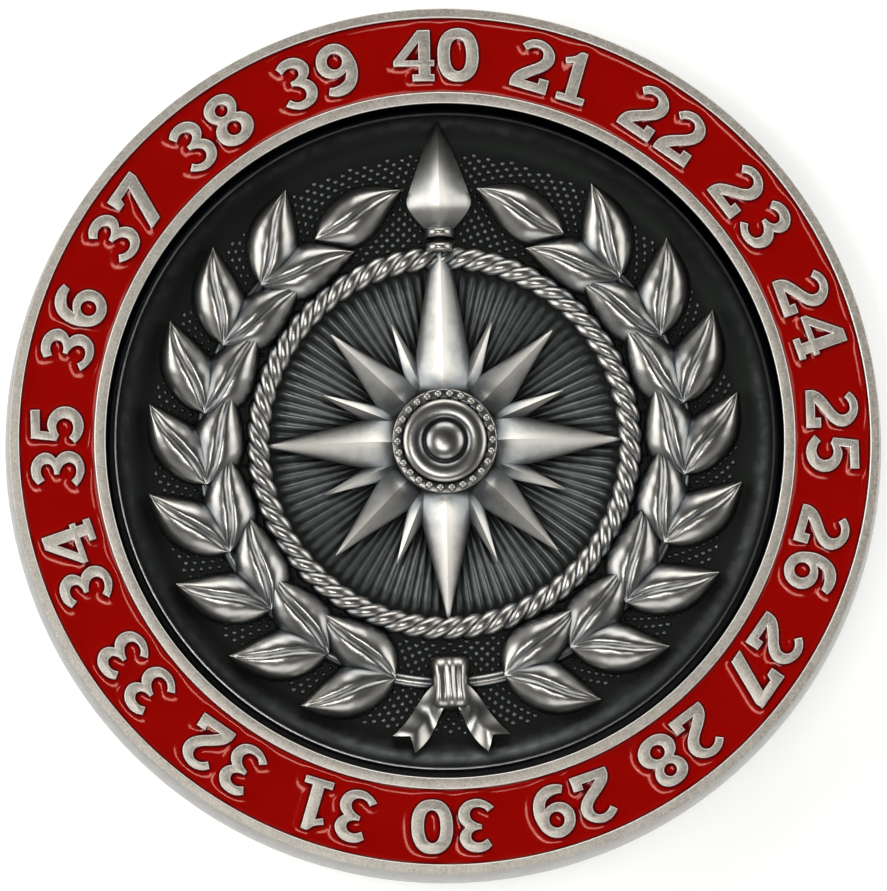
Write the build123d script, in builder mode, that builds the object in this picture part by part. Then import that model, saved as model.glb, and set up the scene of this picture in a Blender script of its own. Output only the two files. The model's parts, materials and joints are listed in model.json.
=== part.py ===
from build123d import *
from math import cos, radians, sin
import os

# A coin-sized life counter. A die-cast number ring, enamelled on both faces, carries a dial
# that turns inside it. The dial is two relief discs, clamped over a tongue inside the ring.
# Millimetres. +Z is the spin axis, Z = 0 is the back rim that it lies on, and +Y is the
# direction of the pointer at rest.

# Number ring, from the bore outwards
bore_radius = 19.25
inner_rim_width = 0.65
band_width = 4.25
outer_rim_width = 0.55
side_bulge = 0.3
ring_thickness = 7.0
band_depth = 0.65
tongue_width = 2.6
tongue_thickness = 1.2

# Enamel that fills the number bands
enamel_drop = 0.22

# Bearing bush, glide rings and drag ring inside the joint
bush_gap = 0.05
bush_wall = 1.8
glide_thickness = 0.3
glide_margin = 0.2
axial_play = 0.05
drag_ring_width = 0.8
drag_gap = 0.02
drag_groove_gap = 0.05

# Dial discs
dial_gap = 0.45
edge_drop = 0.5
lip_width = 0.15
cove_width = 2.0
plate_thickness = 0.6
spigot_gap = 0.02
relief_clearance = 0.15
root_depth = 0.25

# Dowel pins that hold the two discs together
pin_count = 4
pin_radius = 1.0
pin_gap = 0.02
pin_length = 2.4
pin_end_gap = 0.05
pin_edge_margin = 3.0

# Laurel wreath: leaves in pairs along two branches, open at the top for the pointer
wreath_inset = 2.9
leaf_length = 5.6
leaf_width = 3.0
leaf_splay_angle = 28
leaf_pairs = 8
wreath_foot_angle = 13
wreath_gap_angle = 31
stem_width = 1.3
stem_height = 0.65
ridge_top_share = 0.45
leaf_height_share = 0.66
leaf_shoulder_share = 0.36
leaf_neck_share = 0.74
leaf_neck_width_share = 0.68

# Ribbon that ties the two branches at the foot of the wreath
knot_width = 2.2
knot_length = 3.2
knot_height_share = 0.72
knot_chamfer = 0.4
tail_length = 4.4
tail_width = 1.6
tail_angle = 38
tail_height_share = 0.4
tail_notch = 0.6

# Rope ring round the compass star
rope_gap = 0.25
rope_width = 1.8
rope_height = 0.9

# Compass star
point_count = 4
cardinal_width = 4.0
diagonal_width = 3.4
ray_width = 1.9
diagonal_inset = 1.9
ray_inset = 3.6
cardinal_height_share = 0.86
diagonal_height_share = 0.64
ray_height_share = 0.4
boss_radius = 2.4
boss_crown = 0.5
star_root_share = 0.8
collar_radius = 3.0
collar_height_share = 0.68

# Pointer: the star's long arm, which ends in a spearhead beside the numbers
pointer_margin = 0.45
spear_length = 6.4
spear_width = 3.5
spear_shoulder_share = 0.33
spear_height_share = 0.92
spear_tip_width = 0.3
spear_tip_height_share = 0.58
spear_overlap = 2.2

# Radii that follow from the sizes
band_inner_radius = bore_radius + inner_rim_width
band_outer_radius = band_inner_radius + band_width
face_radius = band_outer_radius + outer_rim_width
side_radius = face_radius + side_bulge
tongue_radius = bore_radius - tongue_width
bush_radius = tongue_radius - bush_gap
bush_bore_radius = bush_radius - bush_wall
drag_outer_radius = tongue_radius - drag_gap
drag_inner_radius = drag_outer_radius - drag_ring_width
groove_floor_radius = drag_inner_radius - drag_gap
glide_inner_radius = tongue_radius + glide_margin
glide_outer_radius = bore_radius - glide_margin
disc_radius = bore_radius - dial_gap
lip_radius = disc_radius - lip_width
field_radius = lip_radius - cove_width
spigot_radius = bush_bore_radius - spigot_gap
pin_circle_radius = bush_bore_radius - pin_edge_margin

# Reaches of the relief, from the wreath inwards
wreath_radius = field_radius - wreath_inset
rope_radius = wreath_radius - wreath_inset - rope_gap
diagonal_reach = rope_radius - diagonal_inset
ray_reach = rope_radius - ray_inset
star_root_radius = star_root_share * boss_radius
pointer_reach = lip_radius - pointer_margin
spear_tail_radius = pointer_reach - spear_length
spear_shoulder_radius = spear_tail_radius + spear_shoulder_share * spear_length

# Heights above the middle of the ring, where the two halves meet
face_height = ring_thickness / 2
tongue_top = tongue_thickness / 2
band_floor = face_height - band_depth
enamel_height = face_height - enamel_drop
bush_length = tongue_thickness + 2 * (glide_thickness + axial_play)
plate_bottom = bush_length / 2
field_height = plate_bottom + plate_thickness
lip_height = face_height - edge_drop
relief_root = field_height - root_depth
relief_height = face_height - relief_clearance - relief_root

# Every profile is drawn on this upright plane, whose own origin is the middle of the ring
middle = (0, 0, face_height)
upright = Plane(origin=middle, x_dir=(1, 0, 0), z_dir=(0, -1, 0))
middle_plane = Plane(middle)

os.makedirs("parts", exist_ok=True)


def save(piece, name):
    """Labels a finished piece and writes its file."""
    piece.part.label = name
    export_step(piece.part, f"parts/{name}.step")


def washer(inner, outer, bottom, top):
    """A plain ring between two radii and two heights above the middle."""
    with BuildPart() as ring:
        with BuildSketch(upright):
            with Locations(((inner + outer) / 2, (bottom + top) / 2)):
                Rectangle(outer - inner, top - bottom)
        revolve(axis=Axis.Z)
    return ring


def ridge_section(distance, width, height):
    """A triangle across an arm or a leaf that runs along +X: a flat root and a ridge on top."""
    with BuildSketch(Plane.YZ.offset(distance)) as section:
        with BuildLine():
            Polyline((-width / 2, 0), (width / 2, 0), (0, height), close=True)
        make_face()
    return section.sketch.face()


def star_arm(reach, width, height):
    """One arm of the star along +X: a pyramid from its root at the boss to its point."""
    with BuildPart() as arm:
        loft([ridge_section(star_root_radius, width, height), Vertex(reach, 0, 0)])
    return arm.part


def laurel_leaf():
    """One leaf along +X, with its foot at the origin, a ridge for its midrib and a pointed tip."""
    height = leaf_height_share * relief_height
    shoulder = ridge_section(leaf_shoulder_share * leaf_length, leaf_width, height)
    neck = ridge_section(
        leaf_neck_share * leaf_length, leaf_neck_width_share * leaf_width, leaf_neck_width_share * height
    )
    with BuildPart() as leaf:
        loft([Vertex(0, 0, 0), shoulder, neck, Vertex(leaf_length, 0, 0)], ruled=True)
    return leaf.part


def spearhead():
    """The pointer's head along +X, from its tail to the tip beside the lip."""
    shoulder = ridge_section(spear_shoulder_radius, spear_width, spear_height_share * relief_height)
    tip = ridge_section(pointer_reach, spear_tip_width, spear_tip_height_share * relief_height)
    with BuildPart() as head:
        loft([Vertex(spear_tail_radius, 0, 0), shoulder, tip], ruled=True)
    return head.part


def ring_ridge(radius, width, height, arc):
    """A ridge with sloping sides that follows a circle, from +X round to the given angle."""
    top_width = ridge_top_share * width
    with BuildPart() as ridge:
        with BuildSketch(Plane.XZ):
            with BuildLine():
                Polyline(
                    (radius - width / 2, 0),
                    (radius + width / 2, 0),
                    (radius + top_width / 2, height),
                    (radius - top_width / 2, height),
                    close=True,
                )
            make_face()
        revolve(axis=Axis.Z, revolution_arc=arc)
    return ridge.part


def boss_and_collar():
    """The star's middle: a domed boss inside a lower collar."""
    collar_top = collar_height_share * relief_height
    with BuildPart() as boss:
        with BuildSketch(Plane.XZ):
            with BuildLine():
                Polyline(
                    (0, relief_height),
                    (0, 0),
                    (collar_radius, 0),
                    (collar_radius, collar_top),
                    (boss_radius, collar_top),
                    (boss_radius, relief_height - boss_crown),
                )
                TangentArc((0, relief_height), (boss_radius, relief_height - boss_crown), tangent=(1, 0))
            make_face()
        revolve(axis=Axis.Z)
    return boss.part


def ribbon():
    """The knot over both stems, and two notched tails that hang from it, with +Y towards the star."""
    with BuildSketch() as tail:
        with BuildLine():
            Polyline(
                (0, tail_width / 2),
                (tail_length, tail_width / 2),
                (tail_length - tail_notch, 0),
                (tail_length, -tail_width / 2),
                (0, -tail_width / 2),
                close=True,
            )
        make_face()
    with BuildPart() as knot:
        with BuildSketch():
            for side in (1, -1):
                with Locations(Location((0, 0, 0), (0, 0, -90 + side * tail_angle))):
                    add(tail.sketch)
        extrude(amount=tail_height_share * relief_height)
        with BuildSketch():
            Rectangle(knot_width, knot_length)
        extrude(amount=knot_height_share * relief_height)
        chamfer(knot.faces().sort_by(Axis.Z)[-1].edges(), knot_chamfer)
    return knot.part


def leaf_places():
    """Where the leaves stand: pairs that splay from each branch, and one at each branch's end."""
    places = []
    reach = 180 - wreath_foot_angle - wreath_gap_angle
    for side in (1, -1):
        for pair in range(leaf_pairs + 1):
            turn = wreath_foot_angle + reach * pair / leaf_pairs
            along = -90 + side * turn
            x = wreath_radius * cos(radians(along))
            y = wreath_radius * sin(radians(along))
            splays = (0,) if pair == leaf_pairs else (leaf_splay_angle, -leaf_splay_angle)
            places += [Location((x, y, 0), (0, 0, along + side * 90 + splay)) for splay in splays]
    return places


# The number ring: one casting, the same on both faces, with the tongue that carries the dial
with BuildPart() as outer_ring:
    with BuildSketch(upright):
        with BuildLine() as outline:
            Polyline(
                (tongue_radius, tongue_top),
                (bore_radius, tongue_top),
                (bore_radius, face_height),
                (band_inner_radius, face_height),
                (band_inner_radius, band_floor),
                (band_outer_radius, band_floor),
                (band_outer_radius, face_height),
                (face_radius, face_height),
                (side_radius, 0),
            )
            mirror(outline.line, about=Plane.XZ)
            Line((tongue_radius, tongue_top), (tongue_radius, -tongue_top))
        make_face()
    revolve(axis=Axis.Z)
save(outer_ring, "outer_ring")

front_enamel = washer(band_inner_radius, band_outer_radius, band_floor, enamel_height)
save(front_enamel, "front_enamel")

back_enamel = washer(band_inner_radius, band_outer_radius, -enamel_height, -band_floor)
save(back_enamel, "back_enamel")

# Glide rings lie on both faces of the tongue, under the discs
front_glide_ring = washer(glide_inner_radius, glide_outer_radius, tongue_top, tongue_top + glide_thickness)
save(front_glide_ring, "front_glide_ring")

back_glide_ring = washer(glide_inner_radius, glide_outer_radius, -tongue_top - glide_thickness, -tongue_top)
save(back_glide_ring, "back_glide_ring")

# The bush spaces the discs apart and runs in the tongue's bore, with a groove for the drag ring
with BuildPart() as bearing_bush:
    with BuildSketch(upright):
        with Locations(((bush_bore_radius + bush_radius) / 2, 0)):
            Rectangle(bush_wall, bush_length)
        with Locations((bush_radius, 0)):
            Rectangle(
                2 * (bush_radius - groove_floor_radius),
                drag_ring_width + 2 * drag_groove_gap,
                mode=Mode.SUBTRACT,
            )
    revolve(axis=Axis.Z)
save(bearing_bush, "bearing_bush")

drag_ring = washer(drag_inner_radius, drag_outer_radius, -drag_ring_width / 2, drag_ring_width / 2)
save(drag_ring, "drag_ring")

# Four dowels cross the joint between the discs
with BuildPart() as dowel_pins:
    with BuildSketch(middle_plane):
        with PolarLocations(pin_circle_radius, pin_count, start_angle=180 / pin_count):
            Circle(pin_radius)
    extrude(amount=pin_length / 2, both=True)
save(dowel_pins, "dowel_pins")

# The relief, modelled on its root plane: a compass star in a rope ring, and a laurel wreath
leaf = laurel_leaf()
stem = ring_ridge(wreath_radius, stem_width, stem_height, 360 - 2 * wreath_gap_angle)
cardinal = star_arm(rope_radius, cardinal_width, cardinal_height_share * relief_height)
diagonal = star_arm(diagonal_reach, diagonal_width, diagonal_height_share * relief_height)
ray = star_arm(ray_reach, ray_width, ray_height_share * relief_height)
pointer_arm = star_arm(
    spear_tail_radius + spear_overlap, cardinal_width, cardinal_height_share * relief_height
)

with BuildPart() as relief:
    with Locations(*leaf_places()):
        add(leaf)
    with Locations(Location((0, 0, 0), (0, 0, 90 + wreath_gap_angle))):
        add(stem)
    with Locations((0, -wreath_radius, 0)):
        add(ribbon())
    add(ring_ridge(rope_radius, rope_width, rope_height, 360))
    add(boss_and_collar())
    with PolarLocations(0, point_count):
        add(cardinal)
    with PolarLocations(0, point_count, start_angle=180 / point_count):
        add(diagonal)
    with PolarLocations(0, 2 * point_count, start_angle=90 / point_count):
        add(ray)
    with Locations(Location((0, 0, 0), (0, 0, 90))):
        add(pointer_arm)
        add(spearhead())

# The front disc: a dished plate with the relief on it, and a spigot with blind holes below
with BuildPart() as front_disc:
    with BuildSketch(upright):
        with BuildLine():
            Polyline(
                (0, field_height),
                (0, 0),
                (spigot_radius, 0),
                (spigot_radius, plate_bottom),
                (disc_radius, plate_bottom),
                (disc_radius, lip_height),
                (lip_radius, lip_height),
            )
            EllipticalCenterArc(
                (field_radius, lip_height),
                cove_width,
                lip_height - field_height,
                start_angle=270,
                arc_size=90,
            )
            Line((field_radius, field_height), (0, field_height))
        make_face()
    revolve(axis=Axis.Z)
    with BuildSketch(middle_plane):
        with PolarLocations(pin_circle_radius, pin_count, start_angle=180 / pin_count):
            Circle(pin_radius + pin_gap)
    extrude(amount=pin_length / 2 + pin_end_gap, mode=Mode.SUBTRACT)
    with Locations((0, 0, face_height + relief_root)):
        add(relief.part)
save(front_disc, "front_disc")

# The back disc is the front one seen in a mirror that lies in the joint
with BuildPart() as back_disc:
    mirror(front_disc.part, about=middle_plane)
save(back_disc, "back_disc")
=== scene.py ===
import json
import math
from functools import partial

import bmesh
import bpy
import numpy as np
from mathutils import Matrix, Vector
from mathutils.bvhtree import BVHTree

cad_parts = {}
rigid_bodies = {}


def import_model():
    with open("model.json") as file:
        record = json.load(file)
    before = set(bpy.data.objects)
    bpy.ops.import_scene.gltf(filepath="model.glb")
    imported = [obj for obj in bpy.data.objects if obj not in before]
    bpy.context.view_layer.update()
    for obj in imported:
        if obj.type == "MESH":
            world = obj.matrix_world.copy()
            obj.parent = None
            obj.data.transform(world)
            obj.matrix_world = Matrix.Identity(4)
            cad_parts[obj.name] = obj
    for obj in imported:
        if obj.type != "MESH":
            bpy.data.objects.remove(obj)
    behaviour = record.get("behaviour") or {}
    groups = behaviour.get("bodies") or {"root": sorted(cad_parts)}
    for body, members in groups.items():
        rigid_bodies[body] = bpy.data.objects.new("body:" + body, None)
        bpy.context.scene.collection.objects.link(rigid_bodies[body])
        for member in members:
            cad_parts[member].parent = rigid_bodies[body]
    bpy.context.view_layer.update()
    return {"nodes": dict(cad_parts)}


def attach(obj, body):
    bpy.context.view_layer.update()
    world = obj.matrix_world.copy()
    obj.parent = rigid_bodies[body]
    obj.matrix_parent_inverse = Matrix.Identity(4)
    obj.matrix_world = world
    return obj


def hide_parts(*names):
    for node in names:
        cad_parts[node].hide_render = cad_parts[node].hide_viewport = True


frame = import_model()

# Life counter: an enamelled number ring with a relief dial that turns inside it.
# Sizes are written in millimetres and made metres when a mesh is built. Z = 0 is the back rim.

mm = 0.001
fullTurn = 2 * math.pi
scene = bpy.context.scene
scene.view_settings.view_transform = "Standard"

# the kinds of node that come up most; a range node takes its value, from min, from max, to min and to max
maths, mixer, ranger = "ShaderNodeMath", "ShaderNodeMix", "ShaderNodeMapRange"
noise, vector, rotator = "ShaderNodeTexNoise", "ShaderNodeCombineXYZ", "ShaderNodeVectorRotate"


def linear(hexText):
    # an sRGB hex value, as a colour picker shows it, to the linear values that Blender wants
    channels = [int(hexText[i:i + 2], 16) / 255 for i in (1, 3, 5)]
    return tuple(c / 12.92 if c <= 0.04045 else ((c + 0.055) / 1.055) ** 2.4 for c in channels) + (1.0,)


def addNode(tree, kind, inputs=(), **settings):
    # inputs go in order or by name or number; each is a value, a hex colour, a socket, or a node whose first
    # output in use is meant
    node = tree.nodes.new(kind)
    for key, value in settings.items():
        setattr(node, key, value)
    for key, value in inputs.items() if isinstance(inputs, dict) else enumerate(inputs):
        if isinstance(value, bpy.types.Node):
            value = next(output for output in value.outputs if output.enabled)
        if isinstance(value, bpy.types.NodeSocket):
            tree.links.new(value, node.inputs[key])
        else:
            node.inputs[key].default_value = linear(value) if isinstance(value, str) else value
    return node


def cleanMesh(mesh, sharpAngle):
    # merges seams and poles, points every face outwards, and keeps the crisp edges crisp
    work = bmesh.new()
    work.from_mesh(mesh)
    bmesh.ops.remove_doubles(work, verts=work.verts, dist=0.001 * mm)
    bmesh.ops.dissolve_degenerate(work, edges=work.edges, dist=0.0001 * mm)
    bmesh.ops.recalc_face_normals(work, faces=work.faces)
    work.to_mesh(mesh)
    work.free()
    mesh.polygons.foreach_set("use_smooth", [True] * len(mesh.polygons))
    mesh.set_sharp_from_angle(angle=math.radians(sharpAngle))
    mesh.update()
    return mesh


def newPiece(name, mesh):
    piece = bpy.data.objects.new(name, mesh)
    scene.collection.objects.link(piece)
    return piece


def meshFrom(name, points, faces, sharpAngle):
    mesh = bpy.data.meshes.new(name)
    mesh.from_pydata((np.asarray(points, float).reshape(-1, 3) * mm).tolist(), [], faces)
    return cleanMesh(mesh, sharpAngle)


def evaluated(host):
    # the mesh of an object with its modifiers or curves worked out; the object itself goes
    graph = bpy.context.evaluated_depsgraph_get()
    mesh = bpy.data.meshes.new_from_object(host.evaluated_get(graph), depsgraph=graph)
    bpy.data.objects.remove(host)
    return mesh


def joined(name, meshes):
    # several meshes, already in place, as one
    whole = bmesh.new()
    for mesh in meshes:
        whole.from_mesh(mesh)
    mesh = bpy.data.meshes.new(name)
    whole.to_mesh(mesh)
    whole.free()
    return mesh


def turned(mesh, degrees):
    # a copy of a mesh, turned round Z
    copy = mesh.copy()
    copy.transform(Matrix.Rotation(math.radians(degrees), 4, "Z"))
    return copy


def pointsOf(mesh):
    return np.array([v.co for v in mesh.vertices]) / mm


def storeValues(mesh, name, values):
    mesh.attributes.new(name, "FLOAT", "POINT").data.foreach_set("value", values)


def gridFaces(rows, columns, rowsClose=False, columnsClose=False):
    # quads over a grid of points, which may close on itself in either direction
    faces = []
    for i in range(rows if rowsClose else rows - 1):
        a, b = i * columns, (i + 1) % rows * columns
        for j in range(columns if columnsClose else columns - 1):
            k = (j + 1) % columns
            faces.append((a + j, a + k, b + k, b + j))
    return faces


def roundedLoop(corners, arcSteps=4):
    # (radius, height, rounding) corners to points, each rounded corner as a short arc
    points = []
    for index, (r, z, rounding) in enumerate(corners):
        here = np.array((r, z), float)
        if not rounding:
            points.append(here)
            continue
        ways = [np.array(corners[k % len(corners)][:2]) - here for k in (index - 1, index + 1)]
        before, after = (way / np.linalg.norm(way) for way in ways)
        half = math.acos(np.clip(before @ after, -1, 1)) / 2
        middle = (before + after) / np.linalg.norm(before + after)
        centre = here + middle * rounding / math.sin(half)
        ends = [here - centre + way * rounding / math.tan(half) for way in (before, after)]
        first, last = (math.atan2(y, x) for x, y in ends)
        sweep = (last - first + math.pi) % fullTurn - math.pi
        points += [centre + rounding * np.array((math.cos(angle), math.sin(angle)))
                   for angle in np.linspace(first, first + sweep, arcSteps + 1)]
    return np.array(points)


def latheMesh(name, profile, steps, sharpAngle=35):
    # turns a closed (radius, height) loop round Z
    radii, heights = np.asarray(profile, float).T
    turn = np.arange(steps)[:, None] * fullTurn / steps
    points = np.stack(np.broadcast_arrays(radii * np.cos(turn), radii * np.sin(turn), heights), -1)
    return meshFrom(name, points, gridFaces(steps, len(radii), True, True), sharpAngle)


def grid(rows, columns, start=0):
    # how far along and how far across each point of a slab lies
    return np.linspace(start, 1, rows)[:, None], np.linspace(-1, 1, columns)[None]


def slabMesh(name, x, y, height, sharpAngle):
    # a closed relief solid: a grid of points for its top, straight walls, and a flat root
    top = np.stack(np.broadcast_arrays(x, y, root + height), -1)
    rows, columns = top.shape[:2]
    points = top.reshape(-1, 3)
    under = len(points)
    faces = gridFaces(rows, columns)
    faces += [tuple(under + v for v in reversed(face)) for face in faces]
    borders = (range(0, under, columns), range(columns - 1, under, columns),
               range(columns), range(under - columns, under))
    faces += [(a, b, b + under, a + under) for border in borders for a, b in zip(border, border[1:])]
    return meshFrom(name, np.concatenate((points, points * (1, 1, 0) + (0, 0, root))), faces, sharpAngle)


def newTree(name, values):
    # a Geometry Nodes tree, its inputs named and set to these values
    tree = bpy.data.node_groups.new(name, "GeometryNodeTree")
    tree.interface.new_socket("Geometry", in_out="OUTPUT", socket_type="NodeSocketGeometry")
    for label, value in values.items():
        kind = {int: "Int", float: "Float"}.get(type(value)) or value.bl_rna.identifier
        tree.interface.new_socket(label, in_out="INPUT", socket_type="NodeSocket" + kind).default_value = value
    return tree, partial(addNode, tree), addNode(tree, "NodeGroupInput").outputs


def grownMesh(tree, geometry, material, sharpAngle):
    # ends a tree, runs it on an empty host and keeps the result as a plain mesh
    real = addNode(tree, "GeometryNodeRealizeInstances", (geometry,))
    painted = addNode(tree, "GeometryNodeSetMaterial", {"Geometry": real, "Material": material})
    addNode(tree, "NodeGroupOutput", (painted,))
    host = newPiece(tree.name, bpy.data.meshes.new(tree.name))
    host.modifiers.new(tree.name, "NODES").node_group = tree
    return cleanMesh(evaluated(host), sharpAngle)


def newMaterial(name):
    material = bpy.data.materials.new(name)
    material.use_nodes = True
    material.node_tree.nodes.clear()
    add = partial(addNode, material.node_tree)
    return material, add, add("ShaderNodeTexCoord").outputs["Object"]


def surfaced(material, add, inputs):
    # ends a material with its shader
    add("ShaderNodeOutputMaterial", (add("ShaderNodeBsdfPrincipled", inputs),))
    return material


def silverPlate():
    # Satin antique silver over a die-cast ring, tumbled: an even, finely grained sheen, its edges worn bright
    # painted shade darkens the bore wall and greys the side; the bright edges are real wear
    look = dict(grain=0.11, cloud=0.9, cloudShare=0.3, dark="#a29c92", light="#d3ccc1", soil="#121820",
                sideShadeSaturation=0.25, worn="#f4efe7", smooth=0.42, rough=0.56, grainDepth=0.008)
    material, add, place = newMaterial("satinSilverPlate")
    soil = add("ShaderNodeAttribute", attribute_name="soil").outputs["Fac"]  # 1 painted shade, -1 worn bright
    grain, cloud = (add(noise, {"Vector": place, "Scale": 1000 / look[size], "Detail": detail})
                    for size, detail in (("grain", 3.0), ("cloud", 2.0)))
    tone = add(maths, (cloud, look["cloudShare"], grain), operation="MULTIPLY_ADD")
    colour = look["dark"]
    for share, over in ((add(ranger, (tone, 0.4, 0.9)), "light"), (add(ranger, (soil, 0.0, -1.0)), "worn")):
        colour = add(mixer, {0: share, 6: colour, 7: look[over]}, data_type="RGBA")
    sideShadeShare = add(ranger, (soil, 0.0, 0.03))  # painted shade: the side greyer all over
    sideShaded = add("ShaderNodeHueSaturation", {"Color": colour, "Fac": sideShadeShare, "Saturation": look["sideShadeSaturation"]})
    return surfaced(material, add, {
        "Base Color": add(mixer, {0: add(ranger, (soil,)), 6: sideShaded, 7: look["soil"]}, data_type="RGBA"),
        "Roughness": add(ranger, (grain, 0.3, 0.7, look["smooth"], look["rough"])),
        "Normal": add("ShaderNodeBump", {"Height": grain, "Distance": look["grainDepth"] * mm, "Strength": 0.6}),
        "Metallic": 1.0})


def antiqueSilver():
    # Antique silver relief: oxide left dark in the recesses, the heights rubbed to a satin shine, a thin lacquer
    look = dict(grain=0.09, cloud=0.7, oxide="#232523", mid="#696c6d", rubbed="#aaa7a0", smooth=0.28,
                rough=0.52, grainDepth=0.006)
    material, add, place = newMaterial("antiqueSilver")
    recess = add("ShaderNodeAttribute", attribute_name="recess").outputs["Fac"]
    cloud, grain = (add(noise, {"Vector": place, "Scale": 1000 / look[size], "Detail": detail})
                    for size, detail in (("cloud", 4.0), ("grain", 2.0)))
    uneven = add(ranger, (cloud, 0.3, 0.7, -0.06, 0.06))
    soiled = add(maths, (recess, uneven), operation="ADD")
    low = add(ranger, (soiled, 0.1, 0.75), interpolation_type="SMOOTHSTEP")
    high = add(ranger, (soiled, 0.15, -0.35), interpolation_type="SMOOTHSTEP")
    colour = look["mid"]
    for share, over in ((high, "rubbed"), (low, "oxide")):
        colour = add(mixer, {0: share, 6: colour, 7: look[over]}, data_type="RGBA")
    return surfaced(material, add, {
        "Base Color": colour,
        "Roughness": add(ranger, (low, 0.0, 1.0, look["smooth"], look["rough"])),
        "Normal": add("ShaderNodeBump", {"Height": grain, "Distance": look["grainDepth"] * mm, "Strength": 0.6}),
        "Coat Weight": add(ranger, (low, 0.0, 1.0, 0.35, 0.0)), "Coat Roughness": 0.1, "Metallic": 1.0})


def softEnamel():
    # Soft enamel, a glossy pigmented resin flowed into the band: deep even red, wet-looking, IOR of a resin
    look = dict(flow=2.4, deep="#8c0502", bright="#9a0703", paintedWallShade="#440206", sheen="#ffb4a4", flowDepth=0.0015)
    material, add, place = newMaterial("redSoftEnamel")
    flow = add(noise, {"Vector": place, "Scale": 1000 / look["flow"], "Detail": 1.0})
    # painted shade: darker where the enamel climbs a metal wall, along the foot of every number and rim
    creep = add("ShaderNodeAttribute", attribute_name="creep").outputs["Fac"]
    paintedWallShade = add(ranger, (creep, 0.5, 0.9), interpolation_type="SMOOTHSTEP")
    colour = look["deep"]
    for share, over in ((flow, "bright"), (paintedWallShade, "paintedWallShade")):
        colour = add(mixer, {0: share, 6: colour, 7: look[over]}, data_type="RGBA")
    return surfaced(material, add, {
        "Base Color": colour, "Roughness": 0.1, "IOR": 1.52,
        "Normal": add("ShaderNodeBump", {"Height": flow, "Distance": look["flowDepth"] * mm, "Strength": 0.5}),
        "Specular Tint": look["sheen"]})  # the pigment warms what it reflects


def plainFinish(name, dark, light, grain, metallic, smooth, rough):
    # the parts inside the joint: one tone with a fine grain in its colour and gloss
    material, add, place = newMaterial(name)
    fleck = add(noise, {"Vector": place, "Scale": 1000 / grain, "Detail": 2.0})
    return surfaced(material, add, {
        "Base Color": add(mixer, {0: fleck, 6: dark, 7: light}, data_type="RGBA"),
        "Roughness": add(ranger, (fleck, 0.0, 1.0, smooth, rough)), "Metallic": metallic})


plate = silverPlate()
antique = antiqueSilver()
enamel = softEnamel()
acetal = plainFinish("blackAcetal", "#08080a", "#121214", 0.3, 0.0, 0.4, 0.55)  # moulded, faintly waxy
rubber = plainFinish("nitrileRubber", "#0b0b0b", "#161616", 0.2, 0.0, 0.6, 0.8)  # moulded, dull
brass = plainFinish("turnedBrass", "#b08d4c", "#cda860", 0.15, 1.0, 0.25, 0.4)  # fine turning marks
steel = plainFinish("groundSteel", "#8f9092", "#b4b5b6", 0.08, 1.0, 0.2, 0.35)  # ground dowels
print("materials made")


# Each digit is drawn about its own middle, 3 mm high. A third value marks a corner; the rest run smoothly.
numeral = dict(radius=22.0, pitch=2.52, top=7.0, root=6.25, edge=0.09, spanSteps=5, perTurn=20)


def oval(x, y, width, height, square=2.0, points=16):
    # a round or slightly squared oval
    loop = []
    for step in range(points):
        c, s = math.cos(step * fullTurn / points), math.sin(step * fullTurn / points)
        loop.append((x + width / 2 * math.copysign(abs(c) ** (2 / square), c),
                     y + height / 2 * math.copysign(abs(s) ** (2 / square), s)))
    return loop


def bothSides(half):
    # a loop that is the same left and right, from its right half, top to bottom
    return half + [(-x, y, *corner) for x, y, *corner in reversed(half) if x > 0]


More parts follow.
